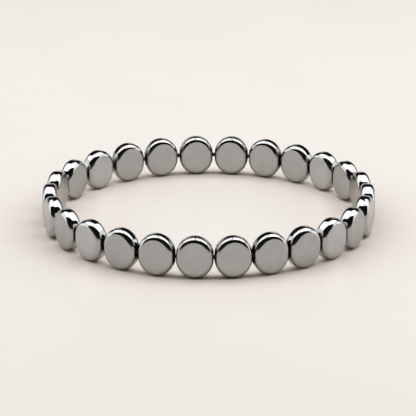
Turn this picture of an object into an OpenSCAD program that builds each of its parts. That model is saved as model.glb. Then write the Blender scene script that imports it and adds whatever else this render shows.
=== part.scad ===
// Stretch bracelet of flat oval hematite beads.
// The beads stand on edge, side by side, in one closed ring that lies on a table.
// Origin: centre of the ring, on the table. +Z is up, -Y is the near side of the ring.

/* [Ring] */
// Width of the ring from left to right, along the middle of the beads, mm
ring_w = 61.6; // [59.6:0.4:63.2]
// Depth of the ring from near to far, along the middle of the beads, mm
ring_d = 59.4; // [54.6:0.4:59.4]
// Number of beads on the cord
bead_count = 26; // [24:1:28]
// How far the beads drift apart round the looser side of the ring, degrees
ease = 2.3; // [0:0.1:3]
// Where round the ring the looser side is, degrees from +X
loose_side = 148; // [0:1:360]
// Size of a second, shorter wave in the spacing, degrees
ripple = 0.5; // [0:0.1:1]
// Where that shorter wave starts, degrees from +X
ripple_side = 177; // [0:1:180]
// Least gap between two neighbouring beads, mm
closest_gap = 0.05; // [0.05:0.01:0.6]

/* [Bead] */
// How much taller than wide a bead stands, mm
bead_tall = 1; // [0.1:0.1:2]
// Thickness of a bead from face to face, mm
bead_t = 2.8; // [2.6:0.1:4]
// Width of the bevel across the face, mm
bevel_face = 0.56; // [0.2:0.02:0.8]
// Width of the bevel along the rim, mm
bevel_rim = 0.56; // [0.1:0.02:0.64]
// How far the middle of the rim stands out beyond its edges, mm
rim_crown = 0.1; // [0.02:0.02:0.16]

/* [Cord] */
// Diameter of the hole drilled through a bead, mm
bore_d = 1.2; // [1.2:0.04:1.24]
// Diameter of the elastic cord, mm
cord_d = 0.8; // [0.6:0.04:0.8]

/* [Colours] */
// Polished hematite
hematite_colour = "#8f8c8a"; // [#8f8c8a:Polished, #5c5a58:Dark, #b3b0ad:Bright]
// Elastic cord
cord_colour = "#17171a"; // [#17171a:Black, #d9d6cf:Clear]

/* [Hidden] */
$fn = 96;
function bead_name(i) = str("bead_", i < 9 ? "0" : "", i + 1);

// Every oval here, the ring and the bead, is four arcs. Their centres make right
// triangles with sides of 3, 4 and 5 steps, so neighbouring arcs meet in one tangent.
function oval_step(short, long) = (long - short) / 2;
function flank_r(short, long) = short + 3 * oval_step(short, long);
function end_r(short, long) = long - 4 * oval_step(short, long);
arc_join = atan2(3, 4);

// The ring's arcs, anticlockwise from the middle of the near side
half_ring_w = ring_w / 2;
half_ring_d = ring_d / 2;
ring_step = oval_step(half_ring_d, half_ring_w);
near_r = flank_r(half_ring_d, half_ring_w);
side_r = end_r(half_ring_d, half_ring_w);
CENTRE = 0; RADIUS = 1; START = 2; SWEEP = 3;
ring_arcs = [
    [[0, 3 * ring_step],  near_r, -90,            90 - arc_join],
    [[4 * ring_step, 0],  side_r, -arc_join,      2 * arc_join],
    [[0, -3 * ring_step], near_r, arc_join,       180 - 2 * arc_join],
    [[-4 * ring_step, 0], side_r, 180 - arc_join, 2 * arc_join],
    [[0, 3 * ring_step],  near_r, 180 + arc_join, 90 - arc_join],
];
function arc_length(arc) = arc[RADIUS] * arc[SWEEP] * PI / 180;
ring_length = 2 * (arc_length(ring_arcs[0]) + arc_length(ring_arcs[1]) + arc_length(ring_arcs[4]));

// Point and outward angle at a length along the ring
function place_at(s, k = 0) =
    let (arc = ring_arcs[k])
    s > arc_length(arc) && k < 4
        ? place_at(s - arc_length(arc), k + 1)
        : let (angle = arc[START] + arc[SWEEP] * s / arc_length(arc))
          [arc[CENTRE] + arc[RADIUS] * [cos(angle), sin(angle)], angle];

// Bead 0 is the one just right of the near middle. Two waves ease the even steps, so
// that the beads lie closest on the near side and loosest at the far left.
function bead_place(i) =
    let (even = (i + 0.5) * 360 / bead_count - 90,
         eased = even + ease * sin(even - loose_side) + ripple * sin(2 * (even - ripple_side)))
    place_at(ring_length * (eased + 90) / 360);

// A bead is as wide as its closest neighbours leave room for, at the inner edges of
// their crowned rims, in whole twentieths of a millimetre.
shoulder = bead_t / 2 - bevel_rim;
crown_band = shoulder / 3;
function room_w(i) =
    let (one = bead_place(i),
         next = bead_place(i + 1),
         half_turn = (next[1] - one[1]) / 2,
         apart = norm(next[0] - one[0]) - closest_gap,
         at_crown = crown_band * sin(half_turn),
         at_shoulder = shoulder * sin(half_turn) - rim_crown * cos(half_turn))
    (apart - 2 * max(at_crown, at_shoulder)) / cos(half_turn);
bead_w = floor(20 * min([for (i = [0 : bead_count - 1]) room_w(i)])) / 20;
bead_h = bead_w + bead_tall;

// The cord is curved and the bores are straight, so it runs a little outside the
// middle of each bore at the bead's centre, and a little inside it at the ends.
cord_out = (bore_d - cord_d) / 4;

// Solid of revolution for each of the four arcs, cut where it meets the next one.
// The children draw the half section, out to $arc_r.
module four_arc_oval(short, long) {
    step = oval_step(short, long);
    for (flip = [0, 1]) {
        mirror([flip, 0, 0])
            translate([-3 * step, 0, 0])
                arc_piece(flank_r(short, long), 2 * long * [[0, 0], [3, 4], [5, 0], [3, -4]])
                    children();
        mirror([0, flip, 0])
            translate([0, 4 * step, 0])
                arc_piece(end_r(short, long), 2 * long * [[0, 0], [3, 4], [-3, 4]])
                    children();
    }
}

module arc_piece(arc_r, wedge) {
    $arc_r = arc_r;
    intersection() {
        rotate_extrude() children();
        linear_extrude(4 * bead_t, center = true) polygon(wedge);
    }
}

// Half section of a bead: flat faces, a bevel at each edge and a crowned rim
module bead_section()
    polygon([
        [0, -bead_t / 2],
        [$arc_r - bevel_face, -bead_t / 2],
        [$arc_r - rim_crown, -shoulder],
        [$arc_r, -crown_band],
        [$arc_r, crown_band],
        [$arc_r - rim_crown, shoulder],
        [$arc_r - bevel_face, bead_t / 2],
        [0, bead_t / 2],
    ]);

// One drilled bead, modelled lying flat, then stood on edge at its place
module bead(i) {
    place = bead_place(i);
    color(hematite_colour)
        translate([place[0][0], place[0][1], bead_h / 2])
            rotate([90, 0, place[1] + 90])
                difference() {
                    four_arc_oval(bead_w / 2, bead_h / 2) bead_section();
                    rotate([0, 90, 0])
                        cylinder(d = bore_d, h = 2 * bead_w, center = true);
                }
}

// Elastic cord: one closed ring through all the bores
module elastic_cord()
    color(cord_colour)
        translate([0, 0, bead_h / 2])
            rotate([0, 0, 90])
                four_arc_oval(half_ring_d, half_ring_w)
                    translate([$arc_r + cord_out, 0])
                        circle(d = cord_d);

for (i = [0 : bead_count - 1])
    bead(i);
elastic_cord();
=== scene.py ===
"""Stretch bracelet of flat oval hematite beads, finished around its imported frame.

One bead is modelled by hand, lying flat, and set on each bead of the frame.
All sizes are in metres, and the bracelet lies on the table at z = 0.
"""

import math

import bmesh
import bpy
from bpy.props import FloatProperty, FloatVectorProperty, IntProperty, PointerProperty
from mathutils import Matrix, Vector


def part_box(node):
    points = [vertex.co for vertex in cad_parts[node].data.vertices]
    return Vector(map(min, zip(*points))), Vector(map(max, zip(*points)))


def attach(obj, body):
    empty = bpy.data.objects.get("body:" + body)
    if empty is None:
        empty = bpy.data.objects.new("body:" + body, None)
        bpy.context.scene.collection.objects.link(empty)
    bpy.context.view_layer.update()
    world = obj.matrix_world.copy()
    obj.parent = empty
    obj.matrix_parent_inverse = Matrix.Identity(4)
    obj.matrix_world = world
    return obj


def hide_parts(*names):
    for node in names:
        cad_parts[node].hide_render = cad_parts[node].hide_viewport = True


bl_info = {
    "name": "Hematite Bracelet",
    "version": (1, 0, 0),
    "blender": (4, 5, 0),
    "location": "View3D > Sidebar > Bracelet",
    "description": "Models the polished beads, the stretch cord and the studio of a hematite bracelet",
    "category": "Object",
}

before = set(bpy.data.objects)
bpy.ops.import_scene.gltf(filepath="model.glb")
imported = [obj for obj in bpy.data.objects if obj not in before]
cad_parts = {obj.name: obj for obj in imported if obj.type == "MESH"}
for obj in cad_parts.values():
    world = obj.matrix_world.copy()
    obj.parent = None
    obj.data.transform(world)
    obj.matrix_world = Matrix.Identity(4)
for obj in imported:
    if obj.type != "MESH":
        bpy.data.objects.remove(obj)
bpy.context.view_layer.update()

MM = 0.001
# Points nearer to each other than this lie on one level
TOUCH = 0.001 * MM
# Edges sharper than this stay crisp in the shading
CRISP_ANGLE = math.radians(12)
# Blender's noise seldom leaves this range
NOISE_LOW = 0.3
NOISE_HIGH = 0.7
# A wave texture at scale 1 has about this many bands to a metre
WAVE_BANDS = 3
WHITE = (1.0, 1.0, 1.0)
BEAD_NODES = sorted(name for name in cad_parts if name.startswith("bead_"))
CORD_NODE = "elastic_cord"


# Where the frame's beads are

def across(node, direction):
    """Lowest and highest reach of a frame node along a direction."""
    reach = [vertex.co.dot(direction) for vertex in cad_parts[node].data.vertices]
    return min(reach), max(reach)


def bead_place(node):
    """Middle of a bead of the frame, and the way out of the ring that its front face looks."""
    low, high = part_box(node)
    middle = (low + high) / 2
    xx = xy = yy = 0.0
    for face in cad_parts[node].data.polygons:
        xx += face.area * face.normal.x ** 2
        yy += face.area * face.normal.y ** 2
        xy += face.area * face.normal.x * face.normal.y
    # Most of a bead's surface is its two flat faces
    turn = math.atan2(2 * xy, xx - yy) / 2
    out = Vector((math.cos(turn), math.sin(turn), 0))
    if out.dot(middle) < 0:
        out.negate()
    return middle, out


def bead_size(node):
    """Width, height and thickness of a bead of the frame."""
    out = bead_place(node)[1]
    along = Vector((-out.y, out.x, 0))
    sizes = []
    for direction in (along, Vector((0, 0, 1)), out):
        low, high = across(node, direction)
        sizes.append(high - low)
    return sizes


BEAD_WIDTH, BEAD_HEIGHT, BEAD_THICKNESS = bead_size(BEAD_NODES[0])


class BeadSizes(bpy.types.PropertyGroup):
    width: FloatProperty(
        name="Width",
        description="Width of a bead, along the cord",
        default=BEAD_WIDTH,
        min=0.001,
        unit="LENGTH",
    )
    height: FloatProperty(
        name="Height",
        description="Height of a bead that stands on edge",
        default=BEAD_HEIGHT,
        min=0.001,
        unit="LENGTH",
    )
    thickness: FloatProperty(
        name="Thickness",
        description="Thickness of a bead from face to face",
        default=BEAD_THICKNESS,
        min=0.0005,
        unit="LENGTH",
    )
    rounding: FloatProperty(
        name="Rounding",
        description="Radius of the polished round between each face and the rim",
        default=1.0 * MM,
        min=0.0,
        unit="LENGTH",
    )
    round_steps: IntProperty(
        name="Round Steps",
        description="Number of steps across that round",
        default=14,
        min=6,
        max=32,
    )
    ground_steps: IntProperty(
        name="Ground Steps",
        description="How many of those steps are ground off with the face, which leaves a crisp edge",
        default=2,
        min=0,
        max=4,
    )
    crown: FloatProperty(
        name="Crown",
        description="How far the middle of the rim stands proud of its sides",
        default=0.02 * MM,
        min=0.0,
        unit="LENGTH",
    )
    rim_cuts: IntProperty(
        name="Rim Cuts",
        description="Number of cuts across the rim, between its two rounds",
        default=5,
        min=1,
        max=16,
    )
    face_inset: FloatProperty(
        name="Face Inset",
        description="Width of the narrow ring just inside the edge of each face",
        default=0.02 * MM,
        min=0.0,
        unit="LENGTH",
    )
    hole: FloatProperty(
        name="Hole",
        description="Diameter of the hole drilled for the cord",
        default=1.2 * MM,
        min=0.0002,
        unit="LENGTH",
    )
    sides: IntProperty(
        name="Sides",
        description="Number of steps round a bead",
        default=128,
        min=32,
        max=256,
    )
    hole_sides: IntProperty(
        name="Hole Sides",
        description="Number of steps round the hole",
        default=48,
        min=12,
        max=96,
    )


class HematiteFinish(bpy.types.PropertyGroup):
    colour: FloatVectorProperty(
        name="Colour",
        description="Share of the light that polished hematite sends back",
        subtype="COLOR",
        size=3,
        min=0.0,
        max=1.0,
        default=(0.405, 0.406, 0.402),
    )
    tone_spread: FloatProperty(
        name="Tone Spread",
        description="How far the stone's clouds go lighter and darker than its colour",
        default=0.05,
        min=0.0,
        max=0.5,
        subtype="FACTOR",
    )
    cloud_size: FloatProperty(
        name="Cloud Size",
        description="Size of one cloud in the stone",
        default=1.8 * MM,
        min=0.0001,
        unit="LENGTH",
    )
    roughness: FloatProperty(
        name="Roughness",
        description="Roughness of the stone where its polish is best",
        default=0.028,
        min=0.0,
        max=1.0,
        subtype="FACTOR",
    )
    smear_roughness: FloatProperty(
        name="Smear Roughness",
        description="Roughness of the patches of slightly duller polish",
        default=0.0455,
        min=0.0,
        max=1.0,
        subtype="FACTOR",
    )
    wave_depth: FloatProperty(
        name="Wave Depth",
        description="Depth of the faint waves that polishing leaves",
        default=0.0012 * MM,
        min=0.0,
        unit="LENGTH",
    )
    wave_size: FloatProperty(
        name="Wave Size",
        description="Width of one of those waves",
        default=2.2 * MM,
        min=0.0001,
        unit="LENGTH",
    )
    smear_size: FloatProperty(
        name="Smear Size",
        description="Size of one of those patches",
        default=0.9 * MM,
        min=0.0001,
        unit="LENGTH",
    )
    scratch_depth: FloatProperty(
        name="Scratch Depth",
        description="Depth of the finest polishing scratches",
        default=0.0002 * MM,
        min=0.0,
        unit="LENGTH",
    )
    scratch_size: FloatProperty(
        name="Scratch Size",
        description="Width of the finest polishing scratches",
        default=0.05 * MM,
        min=0.00001,
        unit="LENGTH",
    )
    scratch_stretch: FloatProperty(
        name="Scratch Stretch",
        description="How many times longer than wide those scratches are",
        default=16.7,
        min=1.0,
    )
    # The nook settings paint shade into the stone's colour and reflection between beads
    nook_reach: FloatProperty(
        name="Nook Reach",
        description="How near the next bead has to be to darken the nook between the two",
        default=1.6 * MM,
        min=0.0001,
        unit="LENGTH",
    )
    painted_nook_tone: FloatProperty(
        name="Nook Tone",
        description="Share of its brightness that the stone keeps deep in a nook",
        default=0.03,
        min=0.0,
        max=1.0,
        subtype="FACTOR",
    )
    nook_closed: FloatProperty(
        name="Nook Closed",
        description="How open to the room the stone still is where a nook is at its darkest",
        default=0.3,
        min=0.0,
        max=1.0,
        subtype="FACTOR",
    )
    nook_open: FloatProperty(
        name="Nook Open",
        description="How open to the room the stone is where nooks stop darkening it",
        default=0.7,
        min=0.0,
        max=1.0,
        subtype="FACTOR",
    )
    nook_floor: FloatProperty(
        name="Nook Floor",
        description="Height above the table up to which no nook darkens",
        default=0.8 * MM,
        min=0.0,
        unit="LENGTH",
    )
    nook_rise: FloatProperty(
        name="Nook Rise",
        description="Further height over which the darkening of the nooks sets in",
        default=1.0 * MM,
        min=0.0,
        unit="LENGTH",
    )


class CordFinish(bpy.types.PropertyGroup):
    colour: FloatVectorProperty(
        name="Colour",
        description="Colour of the stretch cord",
        subtype="COLOR",
        size=3,
        min=0.0,
        max=1.0,
        default=(0.012, 0.012, 0.014),
    )
    fibre_size: FloatProperty(
        name="Fibre Size",
        description="Width of one fibre bundle in the cord's wrap",
        default=0.12 * MM,
        min=0.00001,
        unit="LENGTH",
    )
    fibre_depth: FloatProperty(
        name="Fibre Depth",
        description="Depth of the furrows between the fibre bundles",
        default=0.021 * MM,
        min=0.0,
        unit="LENGTH",
    )
    fibre_sway: FloatProperty(
        name="Fibre Sway",
        description="How far the fibre bundles wander from straight rings round the cord",
        default=1.5,
        min=0.0,
    )
    # Painted shade darkens the furrows and a painted highlight lightens the fibre bundles
    furrow_painted_shade: FloatProperty(
        name="Furrow Tone",
        description="Brightness of the furrows against the cord's colour",
        default=0.5,
        min=0.0,
    )
    ridge_painted_highlight: FloatProperty(
        name="Ridge Tone",
        description="Brightness of the fibre bundles against the cord's colour",
        default=1.8,
        min=0.0,
    )
    fuzz_size: FloatProperty(
        name="Fuzz Size",
        description="Width of the single fibres that make the cord fuzzy",
        default=0.06 * MM,
        min=0.00001,
        unit="LENGTH",
    )
    fuzz_depth: FloatProperty(
        name="Fuzz Depth",
        description="Depth of the fuzz",
        default=0.007 * MM,
        min=0.0,
        unit="LENGTH",
    )
    smooth_roughness: FloatProperty(
        name="Smooth Roughness",
        description="Roughness of the cord where its fuzz lies flat",
        default=0.5,
        min=0.0,
        max=1.0,
        subtype="FACTOR",
    )
    fuzz_roughness: FloatProperty(
        name="Fuzz Roughness",
        description="Roughness of the cord where its fuzz stands up",
        default=0.75,
        min=0.0,
        max=1.0,
        subtype="FACTOR",
    )


class TableFinish(bpy.types.PropertyGroup):
    colour: FloatVectorProperty(
        name="Colour",
        description="Colour of the pale table",
        subtype="COLOR",
        size=3,
        min=0.0,
        max=1.0,
        default=(0.80, 0.758, 0.716),
    )
    sheen: FloatProperty(
        name="Sheen",
        description="Strength of the table's faint satin reflection",
        default=0.2,
        min=0.0,
        max=1.0,
        subtype="FACTOR",
    )
    mottle_size: FloatProperty(
        name="Mottle Size",
        description="Size of one patch of the table's faint mottle",
        default=26 * MM,
        min=0.001,
        unit="LENGTH",
    )
    mottle_dark: FloatProperty(
        name="Mottle Dark",
        description="Brightness of the darker patches against the table's colour",
        default=0.985,
        min=0.0,
    )
    mottle_light: FloatProperty(
        name="Mottle Light",
        description="Brightness of the lighter patches against the table's colour",
        default=1.01,
        min=0.0,
    )
    roughness: FloatProperty(
        name="Roughness",
        description="Roughness of the table in the dips of its grain",
        default=0.28,
        min=0.0,
        max=1.0,
        subtype="FACTOR",
    )
    tooth_roughness: FloatProperty(
        name="Tooth Roughness",
        description="Roughness of the table on the tops of its grain",
        default=0.36,
        min=0.0,
        max=1.0,
        subtype="FACTOR",
    )
    tooth_size: FloatProperty(
        name="Tooth Size",
        description="Width of one grain of the table's surface",
        default=0.5 * MM,
        min=0.0001,
        unit="LENGTH",
    )
    tooth_depth: FloatProperty(
        name="Tooth Depth",
        description="Depth of the grain of the table's surface",
        default=0.01 * MM,
        min=0.0,
        unit="LENGTH",
    )
    # The shade settings paint a soft warm shade into the table's colour round the beads
    shade_reach: FloatProperty(
        name="Shade Reach",
        description="How far from the beads the table is shaded by them",
        default=20 * MM,
        min=0.001,
        unit="LENGTH",
    )
    contact_painted_shade: FloatVectorProperty(
        name="Contact Tint",
        description="Warm tint of the table right under the beads",
        subtype="COLOR",
        size=3,
        min=0.0,
        max=1.0,
        default=(1.0, 0.92, 0.78),
    )
    contact_open: FloatProperty(
        name="Contact Open",
        description="How open the table is to the room where it has the contact tint",
        default=0.1,
        min=0.0,
        max=1.0,
        subtype="FACTOR",
    )
    near_painted_shade: FloatVectorProperty(
        name="Near Tint",
        description="Tint of the table close to the beads",
        subtype="COLOR",
        size=3,
        min=0.0,
        max=1.0,
        default=(1.0, 0.955, 0.905),
    )
    near_open: FloatProperty(
        name="Near Open",
        description="How open the table is to the room where it has the near tint",
        default=0.5,
        min=0.0,
        max=1.0,
        subtype="FACTOR",
    )
    wide_painted_shade: FloatVectorProperty(
        name="Wide Tint",
        description="Tint of the table some way off the beads",
        subtype="COLOR",
        size=3,
        min=0.0,
        max=1.0,
        default=(0.945, 0.93, 0.915),
    )
    wide_open: FloatProperty(
        name="Wide Open",
        description="How open the table is to the room where it has the wide tint",
        default=0.85,
        min=0.0,
        max=1.0,
        subtype="FACTOR",
    )


class StudioSettings(bpy.types.PropertyGroup):
    camera_height: FloatProperty(
        name="Camera Height",
        description="How far above the table's plane the camera looks down from",
        default=math.radians(20.06),
        subtype="ANGLE",
    )
    camera_distance: FloatProperty(
        name="Camera Distance",
        description="Distance from the camera to the middle of the bracelet",
        default=426.0 * MM,
        unit="LENGTH",
    )
    aim_height: FloatProperty(
        name="Aim Height",
        description="Height above the table of the point in the middle of the picture",
        default=2.79 * MM,
        unit="LENGTH",
    )
    aim_side: FloatProperty(
        name="Aim Side",
        description="How far right of the ring's middle the middle of the picture lies",
        default=-0.13 * MM,
        unit="LENGTH",
    )
    lens: FloatProperty(
        name="Lens",
        description="Focal length on a 36 mm wide sensor",
        default=188.6,
        unit="CAMERA",
    )
    table_size: FloatProperty(
        name="Table Size",
        description="Width and depth of the table",
        default=4.0,
        min=0.5,
        unit="LENGTH",
    )
    roof_height: FloatProperty(
        name="Roof Height",
        description="Height of the two soft lights over the bracelet",
        default=0.48,
        unit="LENGTH",
    )
    roof_width: FloatProperty(
        name="Roof Width",
        description="Width of each soft light over the bracelet, from left to right",
        default=0.70,
        unit="LENGTH",
    )
    roof_depth: FloatProperty(
        name="Roof Depth",
        description="Depth of each soft light over the bracelet, from near to far",
        default=0.50,
        unit="LENGTH",
    )
    roof_back: FloatProperty(
        name="Roof Back",
        description="How far behind the bracelet's middle the lights over it are centred",
        default=0.07,
        unit="LENGTH",
    )
    roof_gap: FloatProperty(
        name="Roof Gap",
        description="Gap between the two soft lights over the bracelet",
        default=0.03,
        unit="LENGTH",
    )
    roof_glow: FloatProperty(
        name="Roof Glow",
        description="Brightness of the soft lights over the bracelet",
        default=2.8,
        min=0.0,
    )
    roof_balance: FloatProperty(
        name="Roof Balance",
        description="How much brighter the right light over the bracelet is than their mean",
        default=0.08,
        min=0.0,
        max=0.5,
        subtype="FACTOR",
    )
    wall_out: FloatProperty(
        name="Wall Out",
        description="How far left and right of the bracelet the soft side lights stand",
        default=0.75,
        unit="LENGTH",
    )
    wall_glow: FloatProperty(
        name="Wall Glow",
        description="Brightness of the soft side lights",
        default=1.6,
        min=0.0,
    )
    room_glow: FloatProperty(
        name="Room Glow",
        description="Brightness of the dark upper part of the room",
        default=0.012,
        min=0.0,
    )
    room_colour: FloatVectorProperty(
        name="Room Colour",
        description="Colour of the light that the room itself gives",
        subtype="COLOR",
        size=3,
        min=0.0,
        max=1.0,
        default=(1.0, 0.97, 0.94),
    )
    horizon_glow: FloatProperty(
        name="Horizon Glow",
        description="Brightness of the room just above the table, behind the bracelet",
        default=0.7,
        min=0.0,
    )
    horizon_front: FloatProperty(
        name="Horizon Front",
        description="Share of that brightness on the camera's side of the room",
        default=0.03,
        min=0.0,
        max=1.0,
        subtype="FACTOR",
    )
    horizon_turn: FloatProperty(
        name="Horizon Turn",
        description="Angle from the side of the room over which the brightness changes",
        default=math.radians(20.5),
        subtype="ANGLE",
    )
    horizon_start: FloatProperty(
        name="Horizon Start",
        description="Angle above the table up to which the room keeps its full brightness",
        default=math.radians(8),
        subtype="ANGLE",
    )
    horizon_rise: FloatProperty(
        name="Horizon Rise",
        description="Angle above the table at which the room has gone dark",
        default=math.radians(24),
        subtype="ANGLE",
    )


# Hand modelling helpers

def deselect_objects():
    bpy.ops.object.select_all(action="DESELECT")


def only(piece):
    """Makes one object the selected and active one."""
    deselect_objects()
    piece.select_set(True)
    bpy.context.view_layer.objects.active = piece


def pick(piece, mode, wanted):
    """In edit mode, selects the vertices, edges or faces for which wanted is true."""
    bpy.ops.mesh.select_mode(type=mode)
    bpy.ops.mesh.select_all(action="DESELECT")
    mesh = bmesh.from_edit_mesh(piece.data)
    parts = {"VERT": mesh.verts, "EDGE": mesh.edges, "FACE": mesh.faces}[mode]
    for part in parts:
        if wanted(part):
            part.select_set(True)
    mesh.select_flush_mode()
    bmesh.update_edit_mesh(piece.data)


def model_bead(sizes):
    """One drilled bead, lying flat round the origin, its width along X and height along Y."""
    half = sizes.thickness / 2
    # The blank is a little too thick, by what grinding the faces will take away
    edge_slope = math.pi / 2 * sizes.ground_steps / sizes.round_steps
    spare = sizes.rounding * (1 - math.cos(edge_slope))
    deselect_objects()
    bpy.ops.mesh.primitive_cylinder_add(
        vertices=sizes.sides,
        radius=sizes.width / 2,
        depth=sizes.thickness + 2 * spare,
        end_fill_type="NGON",
        location=(0, 0, 0),
    )
    bead = bpy.context.object
    bead.name = "bead_pattern"
    bpy.ops.object.mode_set(mode="EDIT")
    bpy.ops.mesh.select_all(action="SELECT")

    # Pull the round's two halves apart, which leaves short straight flanks
    pull = (sizes.height - sizes.width) / 2
    for side in (-1, 1):
        pick(bead, "VERT", lambda vertex: side * vertex.co.y > 0)
        bpy.ops.transform.translate(value=(0, side * pull, 0))

    # Round the edge between each face and the rim
    pick(bead, "EDGE", lambda edge: abs(edge.verts[0].co.z - edge.verts[1].co.z) < TOUCH)
    bpy.ops.mesh.bevel(offset=sizes.rounding, segments=sizes.round_steps, affect="EDGES")

    # Grind each face flat, which leaves it a crisp edge
    for side in (-1, 1):
        pick(bead, "VERT", lambda vertex: side * vertex.co.z > half - TOUCH)
        bpy.ops.transform.resize(value=(1, 1, 0), center_override=(0, 0, side * half))

    # Crowned rim: rows across the band, each level drawn in more towards the faces
    pick(
        bead,
        "EDGE",
        lambda edge: abs(edge.verts[0].co.z + edge.verts[1].co.z) < TOUCH
        and abs(edge.verts[0].co.z) > TOUCH,
    )
    bpy.ops.mesh.subdivide(number_cuts=sizes.rim_cuts)
    mesh = bmesh.from_edit_mesh(bead.data)
    levels = sorted({round(abs(vertex.co.z) / TOUCH) * TOUCH for vertex in mesh.verts})
    for level in levels:
        drawn_in = sizes.crown * (level / half) ** 2
        share = 1 - drawn_in / (sizes.width / 2)
        pick(bead, "VERT", lambda vertex: abs(abs(vertex.co.z) - level) < TOUCH)
        bpy.ops.transform.resize(value=(share, share, 1))

    # A small inset keeps the flat of each face free of the shading of its round;
    # only the two faces have more than four corners
    pick(bead, "FACE", lambda face: len(face.verts) > 4)
    bpy.ops.mesh.inset(thickness=sizes.face_inset)
    bpy.ops.object.mode_set(mode="OBJECT")

    drill_bead(bead, sizes)
    only(bead)
    bpy.ops.object.shade_smooth_by_angle(angle=CRISP_ANGLE)
    return bead


def drill_bead(bead, sizes):
    """The hole for the cord, straight through the bead's width."""
    deselect_objects()
    bpy.ops.mesh.primitive_cylinder_add(
        vertices=sizes.hole_sides,
        radius=sizes.hole / 2,
        depth=2 * sizes.width,
        end_fill_type="NGON",
        location=(0, 0, 0),
        rotation=(0, math.pi / 2, 0),
    )
    drill = bpy.context.object
    only(bead)
    cut = bead.modifiers.new("drill", "BOOLEAN")
    cut.operation = "DIFFERENCE"
    cut.solver = "EXACT"
    cut.object = drill
    bpy.ops.object.modifier_apply(modifier=cut.name)
    only(drill)
    bpy.ops.object.delete()


# Materials

class Recipe:
    """A new material, with short calls to add nodes to it and join them."""

    def __init__(self, name):
        self.material = bpy.data.materials.new(name)
        self.material.use_nodes = True
        self.tree = self.material.node_tree
        self.shader = self.tree.nodes["Principled BSDF"]
        self.place = self.add("TexCoord").outputs["Object"]

    def add(self, kind, **values):
        node = self.tree.nodes.new("ShaderNode" + kind)
        for name, value in values.items():
            setattr(node, name, value)
        return node

    def join(self, source, target):
        self.tree.links.new(source, target)

    def stretched(self, scale):
        """Object coordinates scaled along each axis."""
        mapping = self.add("Mapping")
        mapping.inputs["Scale"].default_value = scale
        self.join(self.place, mapping.inputs["Vector"])
        return mapping.outputs["Vector"]

    def noise(self, size, detail=2.0, place=None, blur=0.5):
        """Noise whose lumps are about the given size, in metres."""
        node = self.add("TexNoise")
        node.inputs["Scale"].default_value = 1 / size
        node.inputs["Detail"].default_value = detail
        node.inputs["Roughness"].default_value = blur
        self.join(place or self.place, node.inputs["Vector"])
        return node.outputs["Fac"]

    def between(self, share, low, high, start=NOISE_LOW, end=NOISE_HIGH):
        """A value from low to high as the share goes from start to end."""
        node = self.add("MapRange")
        node.inputs["From Min"].default_value = start
        node.inputs["From Max"].default_value = end
        node.inputs["To Min"].default_value = low
        node.inputs["To Max"].default_value = high
        self.join(share, node.inputs["Value"])
        return node.outputs["Result"]

    def colours(self, share, *stops):
        """A colour that follows the share through stops, each a position and a colour."""
        node = self.add("ValToRGB")
        ramp = node.color_ramp
        while len(ramp.elements) < len(stops):
            ramp.elements.new(1.0)
        for element, (position, colour) in zip(ramp.elements, stops):
            element.position = position
            element.color = (*colour, 1)
        self.join(share, node.inputs["Fac"])
        return node.outputs["Color"]

    def times(self, colour, share):
        """A colour multiplied by a share or by another colour."""
        node = self.add("Mix", data_type="RGBA", blend_type="MULTIPLY")
        node.inputs["Factor"].default_value = 1.0
        # A Mix node's colour sockets come after those for numbers and vectors
        self.join(colour, node.inputs[6])
        self.join(share, node.inputs[7])
        return node.outputs[2]

    def openness(self, reach):
        """How open the surface is to the room, 0 to 1, looking only as far as reach."""
        node = self.add("AmbientOcclusion", samples=16)
        node.inputs["Distance"].default_value = reach
        return node.outputs["AO"]

    def painted_nook_shade(self, finish):
        """Painted shade: share of its brightness that the stone keeps, little between two beads."""
        painted_in_nook = self.between(
            self.openness(finish.nook_reach),
            finish.painted_nook_tone,
            1.0,
            finish.nook_closed,
            finish.nook_open,
        )
        split = self.add("SeparateXYZ")
        self.join(self.place, split.inputs["Vector"])
        above = finish.nook_floor + finish.nook_rise
        by_the_table = self.between(split.outputs["Z"], 1.0, 0.0, finish.nook_floor, above)
        lighter = self.add("Math", operation="MAXIMUM")
        self.join(painted_in_nook, lighter.inputs[0])
        self.join(by_the_table, lighter.inputs[1])
        return lighter.outputs["Value"]

    def bump(self, height, depth, below=None):
        """Surface relief of the given depth, in metres, over another relief."""
        node = self.add("Bump")
        node.inputs["Strength"].default_value = 1.0
        node.inputs["Distance"].default_value = depth
        self.join(height, node.inputs["Height"])
        if below:
            self.join(below, node.inputs["Normal"])
        return node.outputs["Normal"]


def shaded(colour, factor):
    return tuple(min(1.0, channel * factor) for channel in colour)


def hematite_material(finish):
    """Mirror polish with faint waves, fine scratches, cloudy tone, and painted shade that darkens
    colour and reflection in the nooks between beads.
    """
    stone = Recipe("polished_hematite")
    stone.shader.inputs["Metallic"].default_value = 1.0
    clouds = stone.noise(finish.cloud_size, detail=4.0, blur=0.6)
    dark = shaded(finish.colour, 1 - finish.tone_spread)
    light = shaded(finish.colour, 1 + finish.tone_spread)
    # Painted shade: colour and reflection are darkened in the nooks between beads, where shade falls
    painted_shade_share = stone.painted_nook_shade(finish)
    tone = stone.times(stone.colours(clouds, (NOISE_LOW, dark), (NOISE_HIGH, light)), painted_shade_share)
    stone.join(tone, stone.shader.inputs["Base Color"])
    stone.join(painted_shade_share, stone.shader.inputs["Specular Tint"])
    smears = stone.noise(finish.smear_size, detail=3.0)
    rough = stone.between(smears, finish.roughness, finish.smear_roughness)
    stone.join(rough, stone.shader.inputs["Roughness"])
    waves = stone.bump(stone.noise(finish.wave_size, detail=1.0), finish.wave_depth)
    along = stone.stretched((1, 1, 1 / finish.scratch_stretch))
    scratches = stone.noise(finish.scratch_size, detail=2.0, place=along)
    stone.join(stone.bump(scratches, finish.scratch_depth, waves), stone.shader.inputs["Normal"])
    return stone.material


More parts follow.
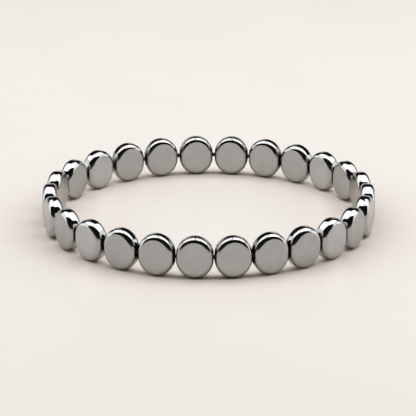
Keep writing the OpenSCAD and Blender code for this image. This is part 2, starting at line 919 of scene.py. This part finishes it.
def cord_material(finish):
    """Matt stretch cord, wrapped in fine fibres that run slightly askew, with painted shade in the
    furrows and a painted highlight on the fibre bundles.
    """
    cord = Recipe("stretch_cord")
    fibres = cord.add("TexWave", wave_type="BANDS", bands_direction="Z")
    fibres.inputs["Scale"].default_value = 1 / (WAVE_BANDS * finish.fibre_size)
    fibres.inputs["Distortion"].default_value = finish.fibre_sway
    fibres.inputs["Detail"].default_value = 3.0
    cord.join(cord.place, fibres.inputs["Vector"])
    ridges = fibres.outputs["Fac"]
    # Painted shade in the furrows and painted highlight on the fibre bundles, following the relief
    dark = shaded(finish.colour, finish.furrow_painted_shade)
    light = shaded(finish.colour, finish.ridge_painted_highlight)
    foot, top = 0.2, 0.8
    cord.join(cord.colours(ridges, (foot, dark), (top, light)), cord.shader.inputs["Base Color"])
    fuzz = cord.noise(finish.fuzz_size, detail=3.0)
    rough = cord.between(fuzz, finish.smooth_roughness, finish.fuzz_roughness)
    cord.join(rough, cord.shader.inputs["Roughness"])
    weave = cord.bump(ridges, finish.fibre_depth)
    cord.join(cord.bump(fuzz, finish.fuzz_depth, weave), cord.shader.inputs["Normal"])
    return cord.material


def table_material(finish):
    """Pale, slightly satin board with a faint mottle, a fine tooth and a painted soft warm shade round
    the beads.
    """
    board = Recipe("pale_table")
    mottle = board.noise(finish.mottle_size, detail=4.0)
    dark = shaded(finish.colour, finish.mottle_dark)
    light = shaded(finish.colour, finish.mottle_light)
    # Painted shade: the table's colour is darkened and warmed where the beads close it off from the
    # room
    shade = board.colours(
        board.openness(finish.shade_reach),
        (finish.contact_open, finish.contact_painted_shade),
        (finish.near_open, finish.near_painted_shade),
        (finish.wide_open, finish.wide_painted_shade),
        (1.0, WHITE),
    )
    tone = board.times(board.colours(mottle, (NOISE_LOW, dark), (NOISE_HIGH, light)), shade)
    board.join(tone, board.shader.inputs["Base Color"])
    board.shader.inputs["Specular IOR Level"].default_value = finish.sheen
    tooth = board.noise(finish.tooth_size, detail=3.0)
    rough = board.between(tooth, finish.roughness, finish.tooth_roughness)
    board.join(rough, board.shader.inputs["Roughness"])
    board.join(board.bump(tooth, finish.tooth_depth), board.shader.inputs["Normal"])
    return board.material


# The pieces

class BRACELET_OT_beads(bpy.types.Operator):
    """Model one polished bead and set a copy on each bead of the frame"""

    bl_idname = "bracelet.beads"
    bl_label = "Hematite Beads"
    bl_options = {"REGISTER", "UNDO"}

    def execute(self, context):
        scene = context.scene
        material = hematite_material(scene.bracelet_hematite)
        pattern = model_bead(scene.bracelet_bead)
        pattern.data.materials.append(material)
        for node in BEAD_NODES:
            middle, out = bead_place(node)
            along = Vector((-out.y, out.x, 0))
            stand = Matrix((along, (0, 0, 1), out)).transposed().to_4x4()
            piece = bpy.data.objects.new(node.replace("bead", "hematite_bead"), pattern.data.copy())
            piece.data.transform(Matrix.Translation(middle) @ stand)
            scene.collection.objects.link(piece)
            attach(piece, "root")
            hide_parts(node)
        only(pattern)
        bpy.ops.object.delete()
        return {"FINISHED"}


class BRACELET_OT_cord(bpy.types.Operator):
    """Give the stretch cord of the frame its finish"""

    bl_idname = "bracelet.cord"
    bl_label = "Stretch Cord"
    bl_options = {"REGISTER", "UNDO"}

    def execute(self, context):
        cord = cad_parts[CORD_NODE]
        cord.data.materials.clear()
        cord.data.materials.append(cord_material(context.scene.bracelet_cord))
        return {"FINISHED"}


def look_at(place, aim):
    return (aim - place).to_track_quat("-Z", "Y").to_euler()


def soft_light(name, place, aim, width, depth, glow):
    """A soft light whose surface has the given brightness, facing a point."""
    bpy.ops.object.light_add(type="AREA", location=place, rotation=look_at(place, aim))
    lamp = bpy.context.object
    lamp.name = name
    lamp.data.shape = "RECTANGLE"
    lamp.data.size = width
    lamp.data.size_y = depth
    lamp.data.energy = glow * math.pi * width * depth
    lamp.visible_camera = False


def studio_room(studio):
    """A dark room with a pale glow just above the table, mostly behind the bracelet."""
    room = bpy.data.worlds.new("studio_room")
    room.use_nodes = True
    nodes = room.node_tree.nodes
    links = room.node_tree.links
    direction = nodes.new("ShaderNodeTexCoord")
    split = nodes.new("ShaderNodeSeparateXYZ")
    links.new(direction.outputs["Generated"], split.inputs["Vector"])
    fade = nodes.new("ShaderNodeMapRange")
    fade.interpolation_type = "SMOOTHSTEP"
    fade.inputs["From Min"].default_value = math.sin(studio.horizon_start)
    fade.inputs["From Max"].default_value = math.sin(studio.horizon_rise)
    fade.inputs["To Min"].default_value = studio.horizon_glow
    fade.inputs["To Max"].default_value = 0.0
    links.new(split.outputs["Z"], fade.inputs["Value"])
    behind = nodes.new("ShaderNodeMapRange")
    behind.interpolation_type = "SMOOTHSTEP"
    behind.inputs["From Min"].default_value = -math.sin(studio.horizon_turn)
    behind.inputs["From Max"].default_value = math.sin(studio.horizon_turn)
    behind.inputs["To Min"].default_value = studio.horizon_front
    behind.inputs["To Max"].default_value = 1.0
    links.new(split.outputs["Y"], behind.inputs["Value"])
    glow = nodes.new("ShaderNodeMath")
    glow.operation = "MULTIPLY_ADD"
    links.new(fade.outputs["Result"], glow.inputs[0])
    links.new(behind.outputs["Result"], glow.inputs[1])
    glow.inputs[2].default_value = studio.room_glow
    shade = nodes["Background"]
    shade.inputs["Color"].default_value = (*studio.room_colour, 1)
    links.new(glow.outputs["Value"], shade.inputs["Strength"])
    return room


class BRACELET_OT_studio(bpy.types.Operator):
    """Build the pale table, the soft lights and the camera"""

    bl_idname = "bracelet.studio"
    bl_label = "Studio"
    bl_options = {"REGISTER", "UNDO"}

    def execute(self, context):
        scene = context.scene
        studio = scene.bracelet_studio
        deselect_objects()
        bpy.ops.mesh.primitive_plane_add(size=studio.table_size, location=(0, 0, 0))
        table = context.object
        table.name = "table"
        table.data.materials.append(table_material(scene.bracelet_table))

        for name, side in (("left", -1), ("right", 1)):
            over = Vector((
                side * (studio.roof_width + studio.roof_gap) / 2,
                studio.roof_back,
                studio.roof_height,
            ))
            # A hair off straight down, so that the light's width stays along X
            below = Vector((over.x, over.y + 0.1 * MM, 0))
            glow = studio.roof_glow * (1 + side * studio.roof_balance)
            soft_light("roof_" + name, over, below, studio.roof_width, studio.roof_depth, glow)
            beside = Vector((side * studio.wall_out, studio.roof_back, studio.roof_height / 2))
            facing = Vector((0, studio.roof_back, studio.roof_height / 2))
            soft_light(
                "wall_" + name, beside, facing, studio.roof_depth, studio.roof_height, studio.wall_glow
            )

        scene.world = studio_room(studio)

        reach = studio.camera_distance
        tilt = studio.camera_height
        place = Vector((0, -math.cos(tilt) * reach, math.sin(tilt) * reach))
        aim = Vector((studio.aim_side, 0, studio.aim_height))
        bpy.ops.object.camera_add(location=place, rotation=look_at(place, aim))
        camera = context.object
        camera.data.sensor_width = 36.0
        camera.data.lens = studio.lens
        camera.data.clip_start = 0.01
        scene.camera = camera
        scene.view_settings.view_transform = "Standard"
        return {"FINISHED"}


class BRACELET_PT_sidebar(bpy.types.Panel):
    bl_label = "Hematite Bracelet"
    bl_idname = "BRACELET_PT_sidebar"
    bl_space_type = "VIEW_3D"
    bl_region_type = "UI"
    bl_category = "Bracelet"

    def draw(self, context):
        layout = self.layout
        layout.operator("bracelet.beads")
        layout.operator("bracelet.cord")
        layout.operator("bracelet.studio")


SETTINGS = {
    "bracelet_bead": BeadSizes,
    "bracelet_hematite": HematiteFinish,
    "bracelet_cord": CordFinish,
    "bracelet_table": TableFinish,
    "bracelet_studio": StudioSettings,
}
CLASSES = (
    *SETTINGS.values(),
    BRACELET_OT_beads,
    BRACELET_OT_cord,
    BRACELET_OT_studio,
    BRACELET_PT_sidebar,
)


def register():
    for made in CLASSES:
        bpy.utils.register_class(made)
    for name, group in SETTINGS.items():
        setattr(bpy.types.Scene, name, PointerProperty(type=group))


def unregister():
    for name in SETTINGS:
        delattr(bpy.types.Scene, name)
    for made in reversed(CLASSES):
        bpy.utils.unregister_class(made)


def main():
    register()
    bpy.ops.bracelet.beads()
    bpy.ops.bracelet.cord()
    bpy.ops.bracelet.studio()


if __name__ == "__main__":
    main()
